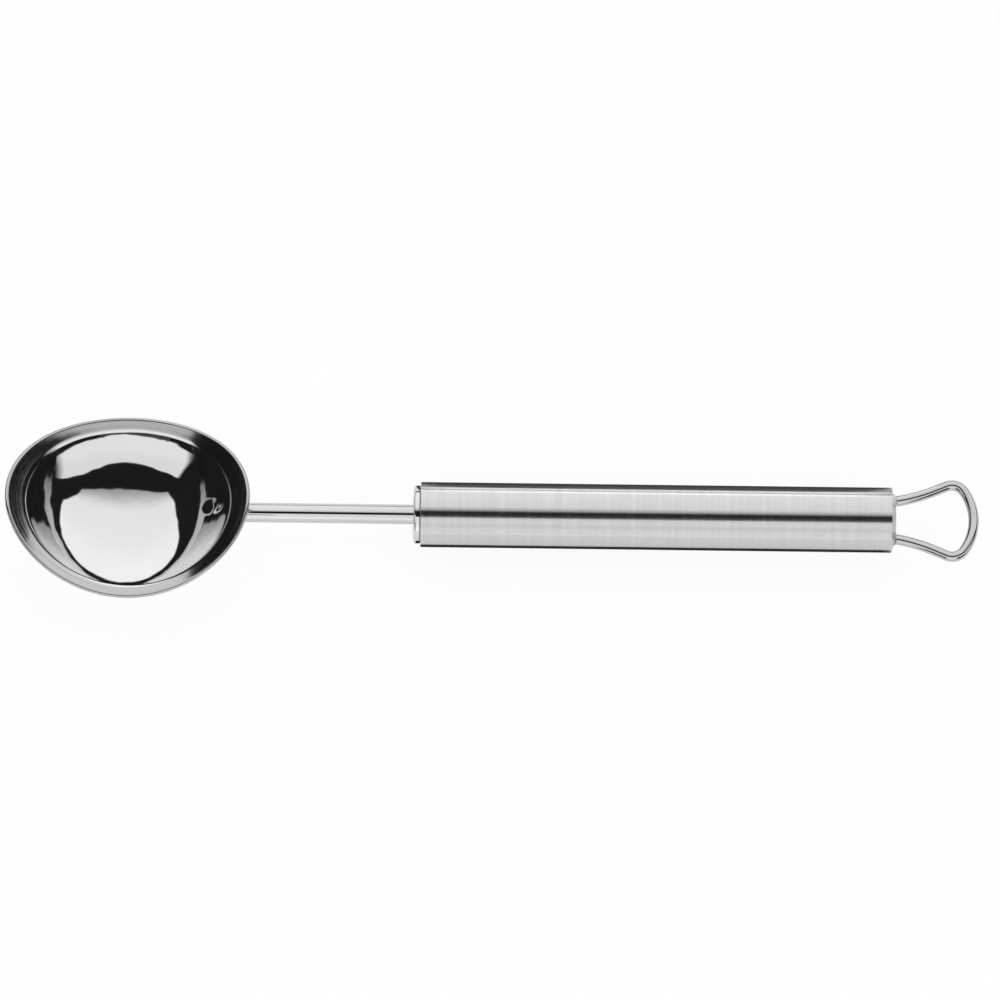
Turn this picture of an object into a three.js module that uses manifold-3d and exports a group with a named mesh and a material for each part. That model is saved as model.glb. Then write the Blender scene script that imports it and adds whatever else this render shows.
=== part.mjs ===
// An ice cream scoop: a pressed steel bowl on a round stem, a tubular handle closed by two
// turned caps, and a wire loop to hang it by. Everything is welded or pressed, so nothing moves.
// Millimetres, +Z up. +X runs from the bowl to the loop, and the origin is under the middle of the scoop.

import * as THREE from 'three';
import { ParametricGeometry } from 'three/addons/geometries/ParametricGeometry.js';
import { mergeVertices } from 'three/addons/utils/BufferGeometryUtils.js';
import Module from 'manifold-3d';

// Bowl
const BOWL_INNER_LENGTH = 54.3;
const BOWL_INNER_WIDTH = 41.7;
const BOWL_END_DEPTH = 19.1;     // if the end walls went straight on up to the rim
const BOWL_SIDE_DEPTH = 7.65;    // if the side walls did
const BOWL_SHEET = 1.0;
const BOWL_FULLNESS = 0.2;       // 0 is a plain parabola; more gives a flatter bottom and steeper walls
const LIP_START_END = 0.863;     // middle of the bend to the lip at the ends, as a share of the way out
const LIP_START_SIDE = 0.9;      // and at the sides
const LIP_BEND = 0.025;          // half the bend's width, as such a share
const LIP_CLIMB_END = 0.58;      // how much of the wall's climb the lip keeps at the ends
const LIP_CLIMB_SIDE = 0.55;     // and at the sides

// Stem
const STEM_DIAMETER = 4.5;
const STEM_HEIGHT = 4.8;         // handle axis above the bowl's underside
const STEM_SHOWN = 37.1;         // from the bowl's rim to the front cap
const STEM_TAIL = 4;             // past the back of the front cap
const BOWL_WELD_LEG = 1.6;

// Front cap
const FRONT_HEAD = 1.8;
const FRONT_SPIGOT = 9;
const FRONT_ROUND = 0.6;
const FRONT_DOME = 0.25;
const STEM_WELD_LEG = 1.5;

// Handle tube
const TUBE_DIAMETER = 15;
const TUBE_WALL = 0.8;
const TUBE_LENGTH = 108.1;
const TUBE_BEVEL_DEPTH = 0.15;   // along the tube
const TUBE_BEVEL_RISE = 0.25;    // across the wall

// Rear cap
const REAR_HEAD = 0.77;
const REAR_SPIGOT = 9;
const REAR_BEVEL = 1.0;

// Hanging loop
const WIRE_DIAMETER = 2.4;
const LEG_OFFSET = 4.5;          // leg to handle axis, at the rear cap's face
const LEG_ANGLE = 9.5;           // degrees off the handle axis where the leg leaves the cap
const FLARE_ANGLE = 23;          // degrees off the handle axis before the corner
const FLARE_RADIUS = 40;
const CORNER_RADIUS = 3.3;
const END_RADIUS = 12.4;
const LOOP_REACH = 19.15;        // rear cap's face to the loop's far edge
const LEG_INSERT = 5;
const LOOP_WELD_LEG = 0.45;

// Clearances
const CAP_FIT = 0.15;            // cap spigot in the tube, on the radius
const STEM_FIT = 0.15;           // stem in the front cap, on the radius
const WIRE_FIT = 0.2;            // leg in its hole, on the radius and at the hole's end
const BEAD_FIT = 0.1;            // bead round a rod or wire, on the radius
const WELD_GAP = 0.3;            // stem and its bead to the bowl's wall

// Facets
const BOWL_SIDES = 64;
const ROUND_SIDES = 32;
const STEM_SIDES = 24;
const WIRE_SIDES = 12;

const wasm = await Module();
wasm.setup();

// Shape helpers

// Merge shared corners and drop the triangles that a pole collapses
function welded(geometry) {
  const bare = geometry.clone();
  bare.deleteAttribute('normal');
  bare.deleteAttribute('uv');
  const merged = mergeVertices(bare, 1e-4);
  const index = merged.index.array;
  const kept = [];
  for (let i = 0; i < index.length; i += 3) {
    const [a, b, c] = [index[i], index[i + 1], index[i + 2]];
    if (a !== b && b !== c && c !== a) kept.push(a, b, c);
  }
  merged.setIndex(kept);
  return merged;
}

function solid(geometry) {
  const shape = welded(geometry);
  return new wasm.Manifold(new wasm.Mesh({
    numProp: 3,
    vertProperties: new Float32Array(shape.attributes.position.array),
    triVerts: new Uint32Array(shape.index.array),
  }));
}

function cut(geometry, ...tools) {
  let result = solid(geometry);
  for (const tool of tools) result = result.subtract(solid(tool));
  const mesh = result.getMesh();
  const shape = new THREE.BufferGeometry();
  shape.setAttribute('position', new THREE.BufferAttribute(mesh.vertProperties, 3));
  shape.setIndex(new THREE.BufferAttribute(mesh.triVerts, 1));
  shape.computeVertexNormals();
  return shape;
}

// Turned piece about the X axis, from [along, radius] corners listed from its -X end to its +X end,
// with a flat facet underneath
function turned(corners, sides) {
  const profile = corners.map(([along, radius]) => new THREE.Vector2(radius, along));
  return new THREE.LatheGeometry(profile, sides, Math.PI / sides).rotateZ(-Math.PI / 2);
}

// Corners of a quarter round, as [along, radius], swept from angle to angle about its centre
function roundCorners(along, radius, round, from, to, steps) {
  return Array.from({ length: steps + 1 }, (_, i) => {
    const a = THREE.MathUtils.degToRad(from + (to - from) * i / steps);
    return [along + round * Math.cos(a), radius + round * Math.sin(a)];
  });
}

// A bead round a rod: flat base at along 0, fillet with equal legs rising towards +X
function bead(bore, leg, sides) {
  const fillet = roundCorners(leg, bore + leg, leg, 270, 180, 4);
  return turned([[0, bore], ...fillet, [0, bore]].reverse(), sides);
}

// Bowl: height of its inner face over the plan, a bowl whose end walls are deeper than its sides
const halfLength = BOWL_INNER_LENGTH / 2;
const halfWidth = BOWL_INNER_WIDTH / 2;

// How far past the bend a share of the way out lies, eased in over the bend
function pastBend(share, endwise) {
  const past = share - LIP_START_SIDE - (LIP_START_END - LIP_START_SIDE) * endwise;
  if (Math.abs(past) < LIP_BEND) return (past + LIP_BEND) ** 2 / (4 * LIP_BEND);
  return Math.max(past, 0);
}

function innerHeight(x, y) {
  const share = Math.hypot(x / halfLength, y / halfWidth);
  if (share === 0) return 0;
  const endwise = (x / halfLength / share) ** 2;
  const climb = LIP_CLIMB_SIDE + (LIP_CLIMB_END - LIP_CLIMB_SIDE) * endwise;
  const out = (share - (1 - climb) * pastBend(share, endwise)) ** 2;
  const depth = out * (BOWL_SIDE_DEPTH + (BOWL_END_DEPTH - BOWL_SIDE_DEPTH) * endwise);
  return depth * (1 - BOWL_FULLNESS + BOWL_FULLNESS * out);
}

function innerNormal(x, y) {
  const step = 0.001;
  const slopeX = (innerHeight(x + step, y) - innerHeight(x - step, y)) / (2 * step);
  const slopeY = (innerHeight(x, y + step) - innerHeight(x, y - step)) / (2 * step);
  return new THREE.Vector3(-slopeX, -slopeY, 1).normalize();
}

// Point at a share of the way out to the rim, sunk by a distance square to the inner face
function bowlPoint(share, angle, sunk) {
  const x = halfLength * share * Math.cos(angle);
  const y = halfWidth * share * Math.sin(angle);
  return new THREE.Vector3(x, y, innerHeight(x, y)).addScaledVector(innerNormal(x, y), -sunk);
}

// Section rows from the inner pole over the half round rim to the outer pole
const WALL_SHARES = [0, 0.09, 0.18, 0.28, 0.38, 0.48, 0.58, 0.68, 0.78];
const BEND_INNER = Math.min(LIP_START_END, LIP_START_SIDE) - LIP_BEND;
const BEND_OUTER = Math.max(LIP_START_END, LIP_START_SIDE) + LIP_BEND;
const BEND_ROWS = 4;
const BEND_SHARES = Array.from({ length: BEND_ROWS + 1 }, (_, row) => (
  BEND_INNER + (BEND_OUTER - BEND_INNER) * row / BEND_ROWS
));
const SHARES = [...WALL_SHARES, ...BEND_SHARES, (BEND_OUTER + 1) / 2, 1];
const FACE_ROWS = SHARES.length - 1;
const RIM_ROWS = 4;
const ALL_ROWS = 2 * FACE_ROWS + RIM_ROWS;

function bowlShell() {
  const place = (u, v, target) => {
    const angle = -2 * Math.PI * u;
    const row = Math.round(v * ALL_ROWS);
    if (row <= FACE_ROWS) {
      target.copy(bowlPoint(SHARES[row], angle, 0));
      return;
    }
    if (row >= FACE_ROWS + RIM_ROWS) {
      target.copy(bowlPoint(SHARES[ALL_ROWS - row], angle, BOWL_SHEET));
      return;
    }
    const turn = Math.PI * (row - FACE_ROWS) / RIM_ROWS;
    const inner = bowlPoint(1, angle, 0);
    const below = bowlPoint(0.999, angle, 0);
    const outward = inner.clone().sub(below).normalize();
    target.copy(bowlPoint(1, angle, BOWL_SHEET / 2 * (1 - Math.cos(turn))));
    target.addScaledVector(outward, BOWL_SHEET / 2 * Math.sin(turn));
  };
  return new ParametricGeometry(place, BOWL_SIDES, ALL_ROWS);
}

// The bowl's outside as a full body under a flat lid point, sunk by a distance from the inner face
function bowlBody(sunk) {
  const lid = new THREE.Vector3(0, 0, BOWL_END_DEPTH);
  const place = (u, v, target) => {
    const row = Math.round(v * (FACE_ROWS + 1));
    if (row === 0) target.copy(lid);
    else target.copy(bowlPoint(SHARES[FACE_ROWS + 1 - row], -2 * Math.PI * u, sunk));
  };
  return new ParametricGeometry(place, BOWL_SIDES, FACE_ROWS + 1);
}

// Places along the handle axis, measured from the middle of the bowl
const rimSlope = Math.acos(innerNormal(halfLength, 0).z);
const bowlEnd = halfLength + BOWL_SHEET / 2 * (1 + Math.sin(rimSlope));
const frontFace = bowlEnd + STEM_SHOWN;
const tubeFront = frontFace + FRONT_HEAD;
const tubeBack = tubeFront + TUBE_LENGTH;
const rearFace = tubeBack + REAR_HEAD;
const loopEnd = rearFace + LOOP_REACH;
const frontBack = tubeFront + FRONT_SPIGOT;
const stemEnd = frontBack + STEM_TAIL;
const axisHeight = STEM_HEIGHT - BOWL_SHEET;

const stemRadius = STEM_DIAMETER / 2;
const tubeRadius = TUBE_DIAMETER / 2;
const boreRadius = tubeRadius - TUBE_WALL;
const capRadius = boreRadius - CAP_FIT;
const wireRadius = WIRE_DIAMETER / 2;

// Where the handle axis meets the bowl's outer wall, and how the wall leans there
let near = 0;
let far = 1;
for (let i = 0; i < 40; i++) {
  const middle = (near + far) / 2;
  if (bowlPoint(middle, 0, BOWL_SHEET).z < axisHeight) near = middle;
  else far = middle;
}
const wallPoint = bowlPoint(near, 0, BOWL_SHEET + WELD_GAP);
const wallNormal = innerNormal(halfLength * near, 0);
const wallLean = -wallNormal.z / wallNormal.x;

const keepOut = bowlBody(BOWL_SHEET + WELD_GAP).translate(0, 0, -axisHeight);

// Stem: a rod whose front end is shaped to the bowl's wall
const stemStart = halfLength / 3;
const stemRod = cut(
  turned([[stemStart, 0], [stemStart, stemRadius], [stemEnd, stemRadius], [stemEnd, 0]], STEM_SIDES),
  keepOut,
);

// Bead leaned over so that its base lies along the bowl's wall
const leaning = new THREE.Matrix4().makeShear(0, 0, 0, 0, wallLean, 0);
const bowlWeld = cut(
  bead(stemRadius + BEAD_FIT, BOWL_WELD_LEG, STEM_SIDES).applyMatrix4(leaning).translate(wallPoint.x, 0, 0),
  keepOut,
);

// Front cap: rounded head outside the tube, spigot inside, bored for the stem
const stemBore = stemRadius + STEM_FIT;
const frontCap = turned([
  [frontFace, stemBore],
  ...roundCorners(frontFace + FRONT_DOME + FRONT_ROUND, capRadius - FRONT_ROUND, FRONT_ROUND, 180, 90, 5),
  [frontBack, capRadius],
  [frontBack, stemBore],
  [frontFace, stemBore],
], ROUND_SIDES);

const stemWeld = bead(stemRadius + BEAD_FIT, STEM_WELD_LEG, STEM_SIDES).translate(frontBack, 0, 0);

// Handle tube, bevelled at both ends
const handleTube = turned([
  [tubeFront, boreRadius],
  [tubeFront, tubeRadius - TUBE_BEVEL_RISE],
  [tubeFront + TUBE_BEVEL_DEPTH, tubeRadius],
  [tubeBack - TUBE_BEVEL_DEPTH, tubeRadius],
  [tubeBack, tubeRadius - TUBE_BEVEL_RISE],
  [tubeBack, boreRadius],
  [tubeFront, boreRadius],
], ROUND_SIDES);

// Loop: half of its centre line in the flat, from the leg's end in the cap to the far apex
const legTurn = THREE.MathUtils.degToRad(LEG_ANGLE);
const flareTurn = THREE.MathUtils.degToRad(FLARE_ANGLE);
const apex = LOOP_REACH - wireRadius;
const endCentre = apex - END_RADIUS;

const flareCentre = new THREE.Vector2(-Math.sin(legTurn), Math.cos(legTurn))
  .multiplyScalar(FLARE_RADIUS).add(new THREE.Vector2(0, LEG_OFFSET));
const flareEnd = new THREE.Vector2(Math.sin(flareTurn), -Math.cos(flareTurn))
  .multiplyScalar(FLARE_RADIUS).add(flareCentre);
const flareLine = new THREE.Vector2(Math.cos(flareTurn), Math.sin(flareTurn));
const inward = new THREE.Vector2(Math.sin(flareTurn), -Math.cos(flareTurn));

// Corner centre: a corner radius inside the flared line and inside the end arc
const offsetStart = flareEnd.clone().addScaledVector(inward, CORNER_RADIUS);
const fromEnd = offsetStart.clone().sub(new THREE.Vector2(endCentre, 0));
const halfB = fromEnd.dot(flareLine);
const reach = -halfB + Math.sqrt(halfB ** 2 - fromEnd.lengthSq() + (END_RADIUS - CORNER_RADIUS) ** 2);
const cornerCentre = offsetStart.clone().addScaledVector(flareLine, reach);
const cornerEnd = Math.atan2(cornerCentre.y, cornerCentre.x - endCentre);

const legAlong = new THREE.Vector2(Math.cos(legTurn), Math.sin(legTurn));
const legInside = new THREE.Vector2(0, LEG_OFFSET).addScaledVector(legAlong, -LEG_INSERT);

const quarter = Math.PI / 2;
const loopLine = new THREE.Path();
loopLine.moveTo(legInside.x, legInside.y);
loopLine.absarc(flareCentre.x, flareCentre.y, FLARE_RADIUS, legTurn - quarter, flareTurn - quarter, false);
loopLine.absarc(cornerCentre.x, cornerCentre.y, CORNER_RADIUS, flareTurn + quarter, cornerEnd, true);
loopLine.absarc(endCentre, 0, END_RADIUS, cornerEnd, -cornerEnd, true);
loopLine.absarc(cornerCentre.x, -cornerCentre.y, CORNER_RADIUS, -cornerEnd, -flareTurn - quarter, true);
loopLine.absarc(flareCentre.x, -flareCentre.y, FLARE_RADIUS, quarter - flareTurn, quarter - legTurn, false);
loopLine.lineTo(legInside.x, -legInside.y);

// A flat line lifted into space, for sweeping a section along it
class LevelCurve extends THREE.Curve {
  constructor(line) {
    super();
    this.line = line;
  }

  getPoint(t, target = new THREE.Vector3()) {
    const point = this.line.getPointAt(t);
    return target.set(point.x, point.y, 0);
  }
}

function disc(radius, sides) {
  const corners = Array.from({ length: sides }, (_, i) => {
    const a = 2 * Math.PI * (i + 0.5) / sides;
    return new THREE.Vector2(radius * Math.cos(a), radius * Math.sin(a));
  });
  return new THREE.Shape(corners);
}

const hangingLoop = new THREE.ExtrudeGeometry(disc(wireRadius, WIRE_SIDES), {
  steps: 110,
  bevelEnabled: false,
  extrudePath: new LevelCurve(loopLine),
}).translate(rearFace, 0, 0);

// Rear cap: bevelled head outside the tube, spigot inside, drilled for the loop's two legs
function legHole(side) {
  const depth = LEG_INSERT + WIRE_FIT;
  const hole = turned([
    [-depth, 0],
    [-depth, wireRadius + WIRE_FIT],
    [WIRE_DIAMETER, wireRadius + WIRE_FIT],
    [WIRE_DIAMETER, 0],
  ], WIRE_SIDES);
  return hole.rotateZ(side * legTurn).translate(rearFace, side * LEG_OFFSET, 0);
}

const rearCap = cut(
  turned([
    [tubeBack - REAR_SPIGOT, 0],
    [tubeBack - REAR_SPIGOT, capRadius],
    [tubeBack, capRadius],
    [rearFace, capRadius - REAR_BEVEL],
    [rearFace, 0],
  ], ROUND_SIDES),
  legHole(1),
  legHole(-1),
);

// Loop beads, opened by the legs' lean
const beadBore = wireRadius / Math.cos(legTurn) + LOOP_WELD_LEG * Math.tan(legTurn) + BEAD_FIT;
const loopWeld = (side) => bead(beadBore, LOOP_WELD_LEG, WIRE_SIDES)
  .translate(rearFace, side * LEG_OFFSET, 0);

// Assembly
const polished = { color: 0xd6d7d8, metalness: 1, roughness: 0.08 };
const brushed = { color: 0xb9babb, metalness: 1, roughness: 0.32 };
const bare = { color: 0x9a9a98, metalness: 1, roughness: 0.45 };

function piece(name, geometry, finish) {
  const mesh = new THREE.Mesh(geometry, new THREE.MeshStandardMaterial(finish));
  mesh.name = name;
  return mesh;
}

// The handle axis is its own group, at the stem's height above the bowl's inner bottom
const handle = new THREE.Group();
handle.position.z = axisHeight;
handle.add(
  piece('bowl_weld', bowlWeld, bare),
  piece('stem_rod', stemRod, polished),
  piece('front_cap', frontCap, polished),
  piece('stem_weld', stemWeld, bare),
  piece('handle_tube', handleTube, brushed),
  piece('rear_cap', rearCap, brushed),
  piece('hanging_loop', hangingLoop, polished),
  piece('loop_weld_far', loopWeld(1), bare),
  piece('loop_weld_near', loopWeld(-1), bare),
);

// The origin lies under the middle of the whole length, level with the lowest point
const scoop = new THREE.Group();
const tubeFlat = tubeRadius * Math.cos(Math.PI / ROUND_SIDES);
const lowest = Math.min(-BOWL_SHEET, axisHeight - tubeFlat);
scoop.position.set((bowlEnd - loopEnd) / 2, 0, -lowest);
scoop.add(piece('scoop_bowl', bowlShell(), polished), handle);

const iceCreamScoop = new THREE.Group();
iceCreamScoop.add(scoop);

export default iceCreamScoop;
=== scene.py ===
# An ice cream scoop: an oval pressed bowl on a round stem, a brushed tubular handle between two
# turned caps, and a bent wire loop to hang it by. All of it is stainless steel, welded or pressed
# together, so every piece rides on the one body. Metres, +X from the bowl to the loop, +Z up.
import math

import bpy
from mathutils import Matrix, Vector


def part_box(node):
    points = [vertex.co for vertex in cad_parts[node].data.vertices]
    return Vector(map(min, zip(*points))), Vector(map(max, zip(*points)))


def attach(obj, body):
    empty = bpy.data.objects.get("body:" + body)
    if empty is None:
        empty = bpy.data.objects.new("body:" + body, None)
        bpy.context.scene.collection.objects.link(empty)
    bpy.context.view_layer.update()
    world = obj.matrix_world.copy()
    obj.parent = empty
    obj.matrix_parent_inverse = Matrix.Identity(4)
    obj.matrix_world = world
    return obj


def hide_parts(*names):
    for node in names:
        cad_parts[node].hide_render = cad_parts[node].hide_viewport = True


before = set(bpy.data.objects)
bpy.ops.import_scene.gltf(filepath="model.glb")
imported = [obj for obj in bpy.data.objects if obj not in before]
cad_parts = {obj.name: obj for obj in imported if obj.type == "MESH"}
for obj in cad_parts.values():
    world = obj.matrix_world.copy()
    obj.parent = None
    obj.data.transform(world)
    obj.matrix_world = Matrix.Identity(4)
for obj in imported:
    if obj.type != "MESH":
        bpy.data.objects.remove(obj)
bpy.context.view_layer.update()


# Bowl
# One oval blank of 1 mm stainless sheet, pressed deep at both ends and shallower at the sides, so
# that its rim dips between the ends. It is mirror polished. A narrow lip with fine turning lines is
# laid out flatter all round, and its edge is rounded over.
bowl_low, bowl_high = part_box("scoop_bowl")
bowl_x = (bowl_low[0] + bowl_high[0]) / 2
bowl_half_length = 0.02715
bowl_half_width = 0.02085
bowl_end_depth = 0.0191
bowl_side_depth = 0.00765
bowl_sheet = 0.001
bowl_fullness = 0.2
lip_start_end = 0.863
lip_start_side = 0.9
lip_bend = 0.025
lip_climb_end = 0.58
lip_climb_side = 0.55
bowl_bottom = bowl_low[2] + bowl_sheet


def inner_height(x, y):
    """Height of the bowl's inner face above its inner bottom, over the plan."""
    share = math.hypot(x / bowl_half_length, y / bowl_half_width)
    if share == 0:
        return 0
    endwise = (x / bowl_half_length / share) ** 2
    past = share - lip_start_side - (lip_start_end - lip_start_side) * endwise
    bent = max(past, 0)
    if abs(past) < lip_bend:
        bent = (past + lip_bend) ** 2 / (4 * lip_bend)
    climb = lip_climb_side + (lip_climb_end - lip_climb_side) * endwise
    out = (share - (1 - climb) * bent) ** 2
    depth = out * (bowl_side_depth + (bowl_end_depth - bowl_side_depth) * endwise)
    return depth * (1 - bowl_fullness + bowl_fullness * out)


def inner_normal(x, y):
    """The direction square to the inner face, upwards."""
    step = 0.000002
    slope_x = (inner_height(x + step, y) - inner_height(x - step, y)) / (2 * step)
    slope_y = (inner_height(x, y + step) - inner_height(x, y - step)) / (2 * step)
    return Vector((-slope_x, -slope_y, 1)).normalized()


def bowl_point(share, angle, sunk):
    """A point part of the way out to the rim, sunk square to the inner face."""
    x = bowl_half_length * share * math.cos(angle)
    y = bowl_half_width * share * math.sin(angle)
    point = Vector((x, y, inner_height(x, y))) - sunk * inner_normal(x, y)
    return point + Vector((bowl_x, 0, bowl_bottom))


def rim_point(angle, turn):
    """A point on the half round edge, turned over it from the inner face to the outer."""
    outward = (bowl_point(1, angle, 0) - bowl_point(0.999, angle, 0)).normalized()
    across = bowl_point(1, angle, bowl_sheet / 2 * (1 - math.cos(turn)))
    return across + outward * (bowl_sheet / 2 * math.sin(turn))


mark_x = 0.0196
mark_radius = 0.0025
mark_depth = 0.0004


def weld_mark(share, angle):
    """How deep the heat of the stem's weld has drawn the inner face in, behind that weld."""
    x = bowl_half_length * share * math.cos(angle) - mark_x
    y = bowl_half_width * share * math.sin(angle)
    off = math.hypot(x, y) / mark_radius
    return mark_depth * (1 - off ** 2) ** 2 if off < 1 else 0


def skin(name, rings, sharp_degrees=40):
    """A smooth mesh over rings of points. A ring of one point closes an end."""
    points = []
    firsts = []
    for ring in rings:
        firsts.append(len(points))
        points.extend(ring)
    faces = []
    for a, b, ring_a, ring_b in zip(firsts, firsts[1:], rings, rings[1:]):
        count = max(len(ring_a), len(ring_b))
        for i in range(count):
            j = (i + 1) % count
            corners = [
                a + i % len(ring_a),
                b + i % len(ring_b),
                b + j % len(ring_b),
                a + j % len(ring_a),
            ]
            faces.append(list(dict.fromkeys(corners)))
    mesh = bpy.data.meshes.new(name)
    mesh.from_pydata([tuple(p) for p in points], [], faces)
    mesh.validate()
    mesh.shade_smooth()
    mesh.set_sharp_from_angle(angle=math.radians(sharp_degrees))
    piece = bpy.data.objects.new(name, mesh)
    bpy.context.scene.collection.objects.link(piece)
    return piece


bowl_sides = 224
wall_rows = 44
bend_rows = 18
lip_rows = 8
rim_rows = 10
bend_inner = lip_start_end - lip_bend
bend_outer = lip_start_side + lip_bend
shares = [bend_inner * row / wall_rows for row in range(1, wall_rows)]
shares += [bend_inner + (bend_outer - bend_inner) * row / bend_rows for row in range(bend_rows)]
shares += [bend_outer + (1 - bend_outer) * row / lip_rows for row in range(lip_rows + 1)]
around = [2 * math.pi * i / bowl_sides for i in range(bowl_sides)]
bowl_rings = [[bowl_point(0, 0, 0)]]
for share in shares:
    bowl_rings.append([bowl_point(share, a, weld_mark(share, a)) for a in around])
for row in range(1, rim_rows):
    bowl_rings.append([rim_point(a, math.pi * row / rim_rows) for a in around])
for share in reversed(shares):
    bowl_rings.append([bowl_point(share, a, bowl_sheet) for a in around])
bowl_rings.append([bowl_point(0, 0, bowl_sheet)])
bowl = skin("bowl_skin", bowl_rings)


def material(name):
    """A new metal material, with its node tree and its shader."""
    made = bpy.data.materials.new(name)
    made.use_nodes = True
    tree = made.node_tree
    shader = tree.nodes["Principled BSDF"]
    shader.inputs["Metallic"].default_value = 1.0
    return made, tree, shader


def math_node(tree, operation, *values):
    """The result of a math node on numbers and other nodes' outputs."""
    node = tree.nodes.new("ShaderNodeMath")
    node.operation = operation
    for socket, value in zip(node.inputs, values):
        if isinstance(value, (int, float)):
            socket.default_value = value
        else:
            tree.links.new(value, socket)
    return node.outputs[0]


def streaks(tree, stretch, scale, detail=4.0):
    """Noise drawn out along the directions with a small stretch, in the object's own space."""
    place = tree.nodes.new("ShaderNodeTexCoord")
    spread = tree.nodes.new("ShaderNodeMapping")
    spread.inputs["Scale"].default_value = stretch
    noise = tree.nodes.new("ShaderNodeTexNoise")
    noise.inputs["Scale"].default_value = scale
    noise.inputs["Detail"].default_value = detail
    tree.links.new(place.outputs["Object"], spread.inputs["Vector"])
    tree.links.new(spread.outputs["Vector"], noise.inputs["Vector"])
    return noise.outputs["Fac"]


def spread_to(tree, value, low, high, from_low=0.3, from_high=0.7):
    """A value spread over a range, by default from the range that noise mostly fills."""
    ranged = tree.nodes.new("ShaderNodeMapRange")
    ranged.inputs["From Min"].default_value = from_low
    ranged.inputs["From Max"].default_value = from_high
    ranged.inputs["To Min"].default_value = low
    ranged.inputs["To Max"].default_value = high
    tree.links.new(value, ranged.inputs["Value"])
    return ranged.outputs["Result"]


def tone(tree, value, dark, light):
    """A noise value as a colour between two others."""
    ramp = tree.nodes.new("ShaderNodeValToRGB")
    ramp.color_ramp.elements[0].position = 0.3
    ramp.color_ramp.elements[1].position = 0.7
    ramp.color_ramp.elements[0].color = (*dark, 1)
    ramp.color_ramp.elements[1].color = (*light, 1)
    tree.links.new(value, ramp.inputs["Fac"])
    return ramp.outputs["Color"]


def relief(tree, shader, value, depth, strength=1.0, under=None):
    """A noise value as fine relief, in metres, laid over any relief under it."""
    bump = tree.nodes.new("ShaderNodeBump")
    bump.inputs["Distance"].default_value = depth
    bump.inputs["Strength"].default_value = strength
    tree.links.new(value, bump.inputs["Height"])
    if under is not None:
        tree.links.new(under, bump.inputs["Normal"])
    tree.links.new(bump.outputs["Normal"], shader.inputs["Normal"])
    return bump.outputs["Normal"]


def mirror_steel(name, stretch, dark=(0.80, 0.80, 0.795), light=(0.86, 0.86, 0.855), sway=0.0):
    """Buffed stainless steel: a mirror, faint buffing lines, and any waviness that pressing left."""
    made, tree, shader = material(name)
    lines = streaks(tree, stretch, 900)
    cloud = streaks(tree, (1, 1, 1), 55, 3.0)
    tree.links.new(tone(tree, cloud, dark, light), shader.inputs["Base Color"])
    tree.links.new(spread_to(tree, lines, 0.025, 0.055), shader.inputs["Roughness"])
    wave = relief(tree, shader, cloud, sway) if sway else None
    relief(tree, shader, lines, 0.000002, 0.06, wave)
    return made


lip_ring_count = 110
lip_finish_from = lip_start_side + 0.002
lip_finish_to = lip_start_side + 0.012
bowl_steel = mirror_steel("bowl_mirror_steel", (1, 1, 6), sway=0.0002)
bowl_tree = bowl_steel.node_tree
bowl_shader = bowl_tree.nodes["Principled BSDF"]
plan_place = bowl_tree.nodes.new("ShaderNodeTexCoord")
plan = bowl_tree.nodes.new("ShaderNodeMapping")
plan.inputs["Scale"].default_value = (1 / bowl_half_length, 1 / bowl_half_width, 0)
plan.inputs["Location"].default_value = (-bowl_x / bowl_half_length, 0, 0)
bowl_tree.links.new(plan_place.outputs["Object"], plan.inputs["Vector"])
plan_axes = bowl_tree.nodes.new("ShaderNodeSeparateXYZ")
bowl_tree.links.new(plan.outputs["Vector"], plan_axes.inputs[0])
plan_length = bowl_tree.nodes.new("ShaderNodeVectorMath")
plan_length.operation = "LENGTH"
bowl_tree.links.new(plan.outputs["Vector"], plan_length.inputs[0])
way_out = plan_length.outputs["Value"]
lip_rings = bowl_tree.nodes.new("ShaderNodeTexNoise")
lip_rings.noise_dimensions = "4D"
lip_rings.inputs["Scale"].default_value = 1.0
lip_rings.inputs["Detail"].default_value = 3.0
lip_ring_way = math_node(bowl_tree, "MULTIPLY", way_out, lip_ring_count)
bowl_tree.links.new(lip_ring_way, lip_rings.inputs["W"])
bowl_tree.links.new(plan.outputs["Vector"], lip_rings.inputs["Vector"])
slant = math_node(bowl_tree, "DIVIDE", plan_axes.outputs["X"], way_out)
end_share = math_node(bowl_tree, "MULTIPLY", slant, slant)
past_bend = math_node(bowl_tree, "MULTIPLY_ADD", end_share, lip_start_side - lip_start_end, way_out)
on_lip = spread_to(bowl_tree, past_bend, 0.0, 1.0, lip_finish_from, lip_finish_to)
lip_grey = tone(bowl_tree, lip_rings.outputs["Fac"], (0.45, 0.45, 0.45), (0.63, 0.63, 0.63))
lip_rough = spread_to(bowl_tree, lip_rings.outputs["Fac"], 0.10, 0.18)
for socket_name, kind, on_lip_value in (
    ("Base Color", "RGBA", lip_grey),
    ("Roughness", "FLOAT", lip_rough),
):
    socket = bowl_shader.inputs[socket_name]
    blend = bowl_tree.nodes.new("ShaderNodeMix")
    blend.data_type = kind
    blend_in = [i for i in blend.inputs if i.enabled]
    bowl_tree.links.new(on_lip, blend_in[0])
    bowl_tree.links.new(socket.links[0].from_socket, blend_in[1])
    bowl_tree.links.new(on_lip_value, blend_in[2])
    bowl_tree.links.new([o for o in blend.outputs if o.enabled][0], socket)
bowl.data.materials.append(bowl_steel)
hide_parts("scoop_bowl")
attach(bowl, "root")


# Stem
# A solid 4.5 mm round rod, polished along its length. Its front end is shaped to the bowl's wall
# and welded there, and its other end goes through the front cap into the handle.
stem_low, stem_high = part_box("stem_rod")
axis_z = (stem_low[2] + stem_high[2]) / 2
stem_radius = 0.00225
stem_tail = stem_high[0]
stem_sides = 64
stem_steps = 12


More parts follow.
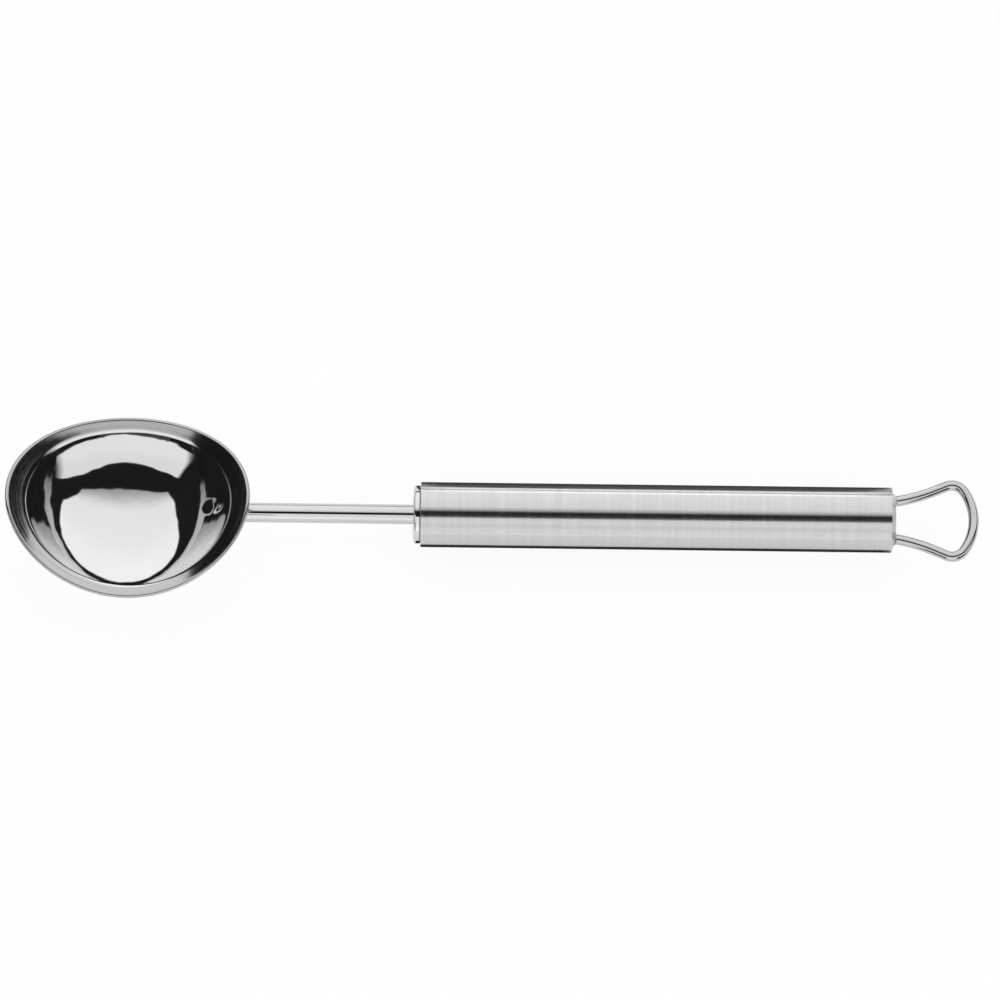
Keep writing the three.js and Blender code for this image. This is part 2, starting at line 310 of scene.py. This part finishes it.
def wall_x(y, z):
    """Where a line along X at this place meets the bowl's outer wall on the handle side."""
    near = 0.0
    far = bowl_half_length
    for _ in range(50):
        x = (near + far) / 2
        rise = inner_height(x, y) + bowl_bottom - z
        if rise * inner_normal(x, y).z < bowl_sheet:
            near = x
        else:
            far = x
    return bowl_x + (near + far) / 2


def round_stem(radius, turn):
    """The y and z of a point about the handle's axis."""
    return radius * math.sin(turn), axis_z + radius * math.cos(turn)


def on_wall(radius, turn):
    """The point on the bowl's outer wall that lies this far from the handle's axis."""
    y, z = round_stem(radius, turn)
    return Vector((wall_x(y, z), y, z))


stem_turns = [2 * math.pi * i / stem_sides for i in range(stem_sides)]
stem_front = [on_wall(stem_radius, turn) for turn in stem_turns]
stem_rings = [[on_wall(0, 0)], stem_front]
for step in range(1, stem_steps + 1):
    ring = []
    for start in stem_front:
        along = start.x + (stem_tail - start.x) * step / stem_steps
        ring.append(Vector((along, start.y, start.z)))
    stem_rings.append(ring)
stem_rings.append([Vector((stem_tail, 0, axis_z))])
stem = skin("stem_skin", stem_rings)
stem_dark = (0.71, 0.71, 0.705)
stem_light = (0.77, 0.77, 0.765)
stem_steel = mirror_steel("stem_mirror_steel", (0.05, 6, 6), stem_dark, stem_light)
stem.data.materials.append(stem_steel)
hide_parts("stem_rod")
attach(stem, "root")


# Weld between stem and bowl
# A small fillet of weld metal all round the stem where it meets the bowl's outer wall, ground and
# polished over with the bowl.
bead_leg = 0.0016
bead_foot_sink = 0.00005
bead_bore = 0.98 * stem_radius
bead_rows = 8
bead_rings = []
for row in range(bead_rows + 1):
    share = row / bead_rows
    ring = []
    for turn in stem_turns:
        foot = on_wall(stem_radius + bead_leg, turn) - Vector((bead_foot_sink, 0, 0))
        root = on_wall(stem_radius, turn)
        crown = root + Vector((bead_leg, 0, 0))
        curve = foot * (1 - share) ** 2 + root * 2 * share * (1 - share) + crown * share ** 2
        ring.append(curve)
    bead_rings.append(ring)
bead_inside = [on_wall(bead_bore, turn) for turn in stem_turns]
bead_rings = bead_rings + [bead_inside, bead_rings[0]]
bowl_weld = skin("bowl_weld_skin", bead_rings)
bowl_weld.data.materials.append(bowl_steel)
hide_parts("bowl_weld")
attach(bowl_weld, "root")


# Front cap
# A turned steel plug in the front end of the tube, bored for the stem. Its head stands out of the
# tube with a rounded edge and a slightly domed, polished face, and a fine groove parts the two.
tube_low, tube_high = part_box("handle_tube")
tube_radius = (tube_high[2] - tube_low[2]) / 2
tube_wall = 0.0008
bore_radius = tube_radius - tube_wall
front_low, front_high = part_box("front_cap")
head_gap = 0.00003
head_radius = bore_radius - head_gap
head_round = 0.0006
head_dome = 0.00025
groove_length = 0.0002
groove_depth = 0.0003
turned_sides = 128


def turned(name, corners, sharp_degrees=40):
    """A piece turned about the handle's axis, from (along, radius) corners."""
    rings = []
    for along, radius in corners:
        if radius == 0:
            rings.append([Vector((along, 0, axis_z))])
            continue
        ring = []
        for i in range(turned_sides):
            y, z = round_stem(radius, 2 * math.pi * i / turned_sides)
            ring.append(Vector((along, y, z)))
        rings.append(ring)
    return skin(name, rings, sharp_degrees)


def arc(along, radius, size, start, end, steps=10):
    """Corners round an arc, in degrees, 0 towards +X and 90 outwards."""
    corners = []
    for i in range(steps + 1):
        turn = math.radians(start + (end - start) * i / steps)
        corners.append((along + size * math.cos(turn), radius + size * math.sin(turn)))
    return corners


dome_rows = 8
dome = []
for row in range(dome_rows):
    share = row / dome_rows
    radius = stem_radius + (head_radius - head_round - stem_radius) * share
    dome.append((front_low[0] + head_dome * share ** 2, radius))
round_x = front_low[0] + head_dome + head_round
spigot_radius = head_radius - groove_depth
front_corners = dome + arc(round_x, head_radius - head_round, head_round, 180, 90)
front_corners += [
    (tube_low[0] - groove_length, head_radius),
    (tube_low[0], spigot_radius),
    (front_high[0], spigot_radius),
    (front_high[0], stem_radius),
    dome[0],
]
front_cap = turned("front_cap_skin", front_corners)
front_steel = mirror_steel("front_cap_mirror_steel", (6, 0.3, 0.3))
front_cap.data.materials.append(front_steel)
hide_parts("front_cap")
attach(front_cap, "root")


# Weld behind the front cap
# The bead that holds the stem in the cap, left as welded inside the closed handle. It keeps its
# solid and takes a dull, heat-tinted finish.
dull_steel, dull_tree, dull_shader = material("as_welded_steel")
dull_cloud = streaks(dull_tree, (1, 1, 1), 700)
dull_tint = tone(dull_tree, dull_cloud, (0.30, 0.28, 0.25), (0.52, 0.50, 0.46))
dull_tree.links.new(dull_tint, dull_shader.inputs["Base Color"])
dull_rough = spread_to(dull_tree, dull_cloud, 0.4, 0.6)
dull_tree.links.new(dull_rough, dull_shader.inputs["Roughness"])
hidden_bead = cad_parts["stem_weld"]
hidden_bead.data.materials.clear()
hidden_bead.data.materials.append(dull_steel)


# Handle tube
# A 15 mm tube with a 0.8 mm wall, brushed round its girth on a lathe and bevelled at both ends.
# The fine lines run round the tube, so a reflection stays crisp across it and blurs along it.
bevel_depth = 0.00015
bevel_rise = 0.00025
tube_corners = [
    (tube_low[0], bore_radius),
    (tube_low[0], tube_radius - bevel_rise),
    (tube_low[0] + bevel_depth, tube_radius),
    (tube_high[0] - bevel_depth, tube_radius),
    (tube_high[0], tube_radius - bevel_rise),
    (tube_high[0], bore_radius),
    (tube_low[0], bore_radius),
]
handle_tube = turned("handle_tube_skin", tube_corners, 25)


def brushed_steel(name, dark, light):
    """Stainless steel brushed round a turned piece: tight rings of lines of uneven brightness."""
    made, tree, shader = material(name)
    ringwise = (1, 0.02, 0.02)
    lines = streaks(tree, ringwise, 5200, 6.0)
    bands = streaks(tree, ringwise, 700, 3.0)
    mean = math_node(tree, "MULTIPLY", math_node(tree, "ADD", lines, bands), 0.5)
    tree.links.new(tone(tree, mean, dark, light), shader.inputs["Base Color"])
    tree.links.new(spread_to(tree, lines, 0.21, 0.27), shader.inputs["Roughness"])
    shader.inputs["Anisotropic"].default_value = 0.95
    shader.inputs["Anisotropic Rotation"].default_value = 0.25
    girth = tree.nodes.new("ShaderNodeTangent")
    girth.direction_type = "RADIAL"
    girth.axis = "X"
    tree.links.new(girth.outputs["Tangent"], shader.inputs["Tangent"])
    relief(tree, shader, lines, 0.000004, 0.07)
    return made


tube_steel = brushed_steel("tube_brushed_steel", (0.67, 0.67, 0.665), (0.785, 0.785, 0.78))
handle_tube.data.materials.append(tube_steel)
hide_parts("handle_tube")
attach(handle_tube, "root")


# Rear cap
# A turned steel plug in the loop end of the tube. Its head stands out with a bevelled edge, and
# the two ends of the loop go in through its flat, brushed face.
rear_low, rear_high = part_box("rear_cap")
rear_bevel = 0.001
edge_round = 0.00012
rear_corners = [
    (rear_low[0], 0),
    (rear_low[0], head_radius),
    (tube_high[0], head_radius),
    (rear_high[0] - edge_round, head_radius - rear_bevel + edge_round / 2),
    (rear_high[0], head_radius - rear_bevel - edge_round),
    (rear_high[0], 0),
]
rear_cap = turned("rear_cap_skin", rear_corners, 25)
rear_steel = brushed_steel("rear_cap_brushed_steel", (0.70, 0.70, 0.695), (0.82, 0.82, 0.815))
rear_cap.data.materials.append(rear_steel)
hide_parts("rear_cap")
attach(rear_cap, "root")


# Hanging loop
# One length of 2.4 mm polished wire. Its legs leave the rear cap a little splayed, flare out, turn
# two tight corners and meet in a shallow arc. A small bead of weld holds each leg to the cap.
face_x = rear_high[0]
wire_radius = 0.0012
leg_offset = 0.0045
leg_angle = math.radians(9.5)
flare_angle = math.radians(23)
flare_radius = 0.04
flare_steps = 24
corner_radius = 0.0033
corner_steps = 22
end_radius = 0.0124
end_steps = 20
loop_reach = 0.01915
leg_insert = 0.005

leg_start = Vector((0, leg_offset))
leg_line = Vector((math.cos(leg_angle), math.sin(leg_angle)))
leg_outward = Vector((-math.sin(leg_angle), math.cos(leg_angle)))
flare_line = Vector((math.cos(flare_angle), math.sin(flare_angle)))
flare_inward = Vector((math.sin(flare_angle), -math.cos(flare_angle)))
end_centre = Vector((loop_reach - wire_radius - end_radius, 0))
flare_centre = leg_start + leg_outward * flare_radius
flare_end = flare_centre + flare_inward * flare_radius

# The corner touches the flare's end line and the end arc, so its middle lies corner_radius in from both
offset_start = flare_end + flare_inward * corner_radius
from_end = offset_start - end_centre
half_b = from_end.dot(flare_line)
middle_reach = end_radius - corner_radius
reach = math.sqrt(half_b ** 2 - from_end.length_squared + middle_reach ** 2) - half_b
corner_centre = offset_start + flare_line * reach
corner_end = math.atan2(corner_centre.y, corner_centre.x - end_centre.x)


def arc_points(centre, radius, start, end, steps):
    """Points round an arc in the loop's plane, in radians from +X."""
    points = []
    for i in range(steps + 1):
        turn = start + (end - start) * i / steps
        points.append(centre + radius * Vector((math.cos(turn), math.sin(turn))))
    return points


quarter = math.pi / 2
flare_turns = (leg_angle - quarter, flare_angle - quarter)
half_line = [leg_start - leg_line * leg_insert]
half_line += arc_points(flare_centre, flare_radius, *flare_turns, flare_steps)
corner_start = flare_angle + quarter
half_line += arc_points(corner_centre, corner_radius, corner_start, corner_end, corner_steps)
half_line += arc_points(end_centre, end_radius, corner_end, 0, end_steps)[1:]
wire_line = half_line + [Vector((p.x, -p.y)) for p in reversed(half_line[:-1])]

wire_sides = 32
wire_turns = [2 * math.pi * i / wire_sides for i in range(wire_sides)]
wire_up = Vector((0, 0, 1))
wire_centres = [Vector((face_x + p.x, p.y, axis_z)) for p in wire_line]
wire_rings = []
for i, centre in enumerate(wire_centres):
    before = wire_centres[max(i - 1, 0)]
    after = wire_centres[min(i + 1, len(wire_centres) - 1)]
    ahead = (after - before).normalized()
    across = Vector((-ahead.y, ahead.x, 0))
    ring = []
    for turn in wire_turns:
        ring.append(centre + wire_radius * (math.cos(turn) * across + math.sin(turn) * wire_up))
    wire_rings.append(ring)
loop = skin("hanging_loop_skin", [[wire_centres[0]]] + wire_rings + [[wire_centres[-1]]])
loop_dark = (0.60, 0.60, 0.595)
loop_light = (0.68, 0.68, 0.675)
loop_steel = mirror_steel("loop_mirror_steel", (2, 2, 6), loop_dark, loop_light)
loop.data.materials.append(loop_steel)
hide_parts("hanging_loop")
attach(loop, "root")

loop_bead_leg = 0.00045
loop_bead_bore = 0.95 * wire_radius
loop_bead_rows = 6


def round_leg(side, along, off_leg, radius):
    """A ring round one leg of the loop, near the rear cap's face, wound to face outwards."""
    ring = []
    for turn in wire_turns:
        y = leg_offset + off_leg + radius * math.sin(turn)
        ring.append(Vector((face_x + along, side * y, axis_z + radius * math.cos(turn))))
    return ring[::-side]


for side, node in ((1, "loop_weld_far"), (-1, "loop_weld_near")):
    rings = []
    for row in range(loop_bead_rows + 1):
        share = row / loop_bead_rows
        along = loop_bead_leg * share ** 2
        radius = wire_radius + loop_bead_leg * (1 - share) ** 2
        rings.append(round_leg(side, along, along * math.tan(leg_angle), radius))
    inside = round_leg(side, 0, 0, loop_bead_bore)
    bead = skin(node + "_skin", rings + [inside, rings[0]])
    bead.data.materials.append(loop_steel)
    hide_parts(node)
    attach(bead, "root")


# Floor
# A wide white table. The camera and the steel see it lifted close to white, and it keeps a faint
# soft shadow under the scoop.
floor_half = 6.0
camera_lift = 0.92
mirror_lift = 0.35


def plate(name, corners):
    """A flat sheet between four corners."""
    mesh = bpy.data.meshes.new(name)
    mesh.from_pydata(corners, [], [(0, 1, 2, 3)])
    made = bpy.data.objects.new(name, mesh)
    bpy.context.scene.collection.objects.link(made)
    return made


floor_plan = ((-1, -1), (1, -1), (1, 1), (-1, 1))
floor = plate("floor", [(x * floor_half, y * floor_half, 0) for x, y in floor_plan])
floor_white = bpy.data.materials.new("floor_white")
floor_white.use_nodes = True
floor_tree = floor_white.node_tree
floor_tree.nodes.clear()
seen_by = floor_tree.nodes.new("ShaderNodeLightPath")
by_camera = seen_by.outputs["Is Camera Ray"]
matt = floor_tree.nodes.new("ShaderNodeBsdfDiffuse")
matt_shade = floor_tree.nodes.new("ShaderNodeMix")
matt_shade.data_type = "RGBA"
matt_shade.inputs["A"].default_value = (0.75, 0.75, 0.75, 1)
matt_shade.inputs["B"].default_value = (0.12, 0.12, 0.12, 1)
floor_tree.links.new(by_camera, matt_shade.inputs["Factor"])
floor_tree.links.new(matt_shade.outputs["Result"], matt.inputs["Color"])
by_mirror = math_node(
    floor_tree, "ADD", seen_by.outputs["Is Glossy Ray"], seen_by.outputs["Is Transmission Ray"]
)
lift = math_node(floor_tree, "MULTIPLY", by_camera, camera_lift)
lift = math_node(floor_tree, "MULTIPLY_ADD", by_mirror, mirror_lift, lift)
glow = floor_tree.nodes.new("ShaderNodeEmission")
floor_tree.links.new(lift, glow.inputs["Strength"])
whole = floor_tree.nodes.new("ShaderNodeAddShader")
floor_tree.links.new(matt.outputs[0], whole.inputs[0])
floor_tree.links.new(glow.outputs[0], whole.inputs[1])
floor_out = floor_tree.nodes.new("ShaderNodeOutputMaterial")
floor_tree.links.new(whole.outputs[0], floor_out.inputs["Surface"])
floor.data.materials.append(floor_white)


# Studio light
# A dark studio with two soft boxes along the scoop: a wide one over it with a bowed front edge and
# rounded back, and one in front with a bowed top edge. The camera looks through the gap between
# them. Directions are in degrees: over from the front horizon, and aside towards the loop.
studio = bpy.data.worlds.new("studio")
bpy.context.scene.world = studio
studio.use_nodes = True
sky = studio.node_tree
sky.nodes.clear()


def fade(value, start, end, low=0.0, high=1.0):
    """Goes smoothly from low to high as an angle in degrees goes from start to end."""
    node = sky.nodes.new("ShaderNodeMapRange")
    node.interpolation_type = "SMOOTHSTEP"
    node.inputs["From Min"].default_value = start
    node.inputs["From Max"].default_value = end
    node.inputs["To Min"].default_value = low
    node.inputs["To Max"].default_value = high
    sky.links.new(value, node.inputs["Value"])
    return node.outputs["Result"]


def add(a, b):
    return math_node(sky, "ADD", a, b)


def less(a, b):
    return math_node(sky, "SUBTRACT", a, b)


def times(first, *others):
    whole = first
    for other in others:
        whole = math_node(sky, "MULTIPLY", whole, other)
    return whole


def size_of(value):
    return math_node(sky, "ABSOLUTE", value)


view_way = sky.nodes.new("ShaderNodeTexCoord")
way = sky.nodes.new("ShaderNodeSeparateXYZ")
sky.links.new(view_way.outputs["Generated"], way.inputs[0])
frontwards = times(way.outputs["Y"], -1.0)
over = math_node(sky, "DEGREES", math_node(sky, "ARCTAN2", way.outputs["Z"], frontwards))
aside = math_node(sky, "DEGREES", math_node(sky, "ARCSINE", way.outputs["X"]))

top_middle = 7.5
front_middle = 3.5
off_top = size_of(less(aside, top_middle))
off_front = size_of(less(aside, front_middle))

top_bow = 0.0017
top_corner = 88.0
top_corner_slope = 0.6
back_start = 128.0
back_depth = 45.0
back_half_width = 58.5
back_taper = 0.18
bowed_edge = less(over, times(off_top, off_top, top_bow))
cut_corner = less(off_front, times(less(over, top_corner), top_corner_slope))
past_start = math_node(sky, "MAXIMUM", less(over, back_start), 0.0)
far_back = times(past_start, 1 / back_depth)
far_out = times(add(off_top, times(past_start, back_taper)), 1 / back_half_width)
round_back = add(math_node(sky, "POWER", far_back, 4.0), math_node(sky, "POWER", far_out, 4.0))
top_box = times(
    fade(bowed_edge, 86.2, 88.0),
    fade(round_back, 1.07, 0.93),
    fade(cut_corner, 46, 43.5),
    fade(over, 84, 106, 0.38, 1.13),
    fade(over, 108, 160, 1.0, 1.11),
)

front_bow = 0.0042
end_slope = 0.55
bowed_top = less(over, times(aside, aside, front_bow))
open_low = add(over, fade(size_of(aside), 27, 15, 0, 40))
cut_end = less(times(over, end_slope), aside)
front_box = times(
    fade(open_low, 36.5, 38.5),
    fade(bowed_top, 64.2, 63.0),
    fade(off_front, 75, 64),
    fade(cut_end, 100, 95),
    fade(over, 49, 63, 1.10, 1.02),
    fade(over, 20, 36, 1.18, 1.0),
)

room_light = 0.015
light = add(add(top_box, front_box), room_light)
sky_glow = sky.nodes.new("ShaderNodeBackground")
sky.links.new(light, sky_glow.inputs["Strength"])
sky_out = sky.nodes.new("ShaderNodeOutputWorld")
sky.links.new(sky_glow.outputs[0], sky_out.inputs["Surface"])


# Back strip, painted shadow flag and card
# A low strip lamp behind the handle lights its far shoulder. A dark flag on the table, under and behind
# the handle, keeps the tube's far edge dark against the white. It is painted shadow: a black sheet
# that only the steel sees, put in for the table's shadow under the handle. A narrow dark card in front
# of the bowl shows as the thin dark line under the bowl's far lip.
strip_height = 0.022
strip_y = 0.05
strip_z = 0.017
strip = bpy.data.lights.new("back_strip", "AREA")
strip.shape = "RECTANGLE"
strip.size = tube_high[0] - tube_low[0]
strip.size_y = strip_height
strip.energy = 0.0008
strip.spread = math.radians(80)
strip_lamp = bpy.data.objects.new("back_strip", strip)
strip_lamp.location = ((tube_low[0] + tube_high[0]) / 2, strip_y, strip_z)
strip_lamp.rotation_euler = (math.radians(-90), 0, 0)
strip_lamp.visible_camera = False
bpy.context.scene.collection.objects.link(strip_lamp)

# The flag's black is painted shadow, standing in for the table's shadow under and behind the handle.
painted_shadow_z = 0.0002
painted_shadow_front = -0.012
painted_shadow_back = 0.12
painted_shadow_flag = plate("painted_shadow_flag", [
    (front_low[0], painted_shadow_front, painted_shadow_z),
    (tube_high[0], painted_shadow_front, painted_shadow_z),
    (tube_high[0], painted_shadow_back, painted_shadow_z),
    (front_low[0], painted_shadow_back, painted_shadow_z),
])
card_y = -0.04
card_left = -0.14
card_right = -0.051
card_low = 0.0469
card_high = 0.0546
card = plate("card", [
    (card_left, card_y, card_low),
    (card_right, card_y, card_low),
    (card_right, card_y, card_high),
    (card_left, card_y, card_high),
])
# One black for both: on the flag it is painted shadow, on the card it is the dark card.
painted_shadow_and_card_black = bpy.data.materials.new("painted_shadow_and_card_black")
painted_shadow_and_card_black.use_nodes = True
painted_shadow_and_card_shader = painted_shadow_and_card_black.node_tree.nodes["Principled BSDF"]
painted_shadow_and_card_shader.inputs["Base Color"].default_value = (0.03, 0.03, 0.03, 1)
for dark in (painted_shadow_flag, card):
    dark.data.materials.append(painted_shadow_and_card_black)
    dark.visible_camera = False
    dark.visible_diffuse = False
    dark.visible_shadow = False


# Camera
# A long lens, square to the handle and 73 degrees above the horizon, turned by less than a degree
# so that the handle falls a little to the right.
rise = math.radians(73)
roll = math.radians(-0.7)
camera_distance = 2.5
frame_width = 0.2293
sensor_width = 36
aim_x = 0.0016
aim_up = 0.00355
back = Vector((0, -math.cos(rise), math.sin(rise)))
up = Vector((0, math.sin(rise), math.cos(rise)))
aim = Vector((aim_x, 0, axis_z)) + up * aim_up
lens = bpy.data.cameras.new("camera")
lens.sensor_width = sensor_width
lens.lens = sensor_width * camera_distance / frame_width
camera = bpy.data.objects.new("camera", lens)
bpy.context.scene.collection.objects.link(camera)
eye = aim + back * camera_distance
turned_up = up * math.cos(roll) + Vector((1, 0, 0)) * math.sin(roll)
right = turned_up.cross(back)
camera.matrix_world = Matrix((
    (right.x, turned_up.x, back.x, eye.x),
    (right.y, turned_up.y, back.y, eye.y),
    (right.z, turned_up.z, back.z, eye.z),
    (0, 0, 0, 1),
))
bpy.context.scene.camera = camera
bpy.context.scene.view_settings.view_transform = "Standard"
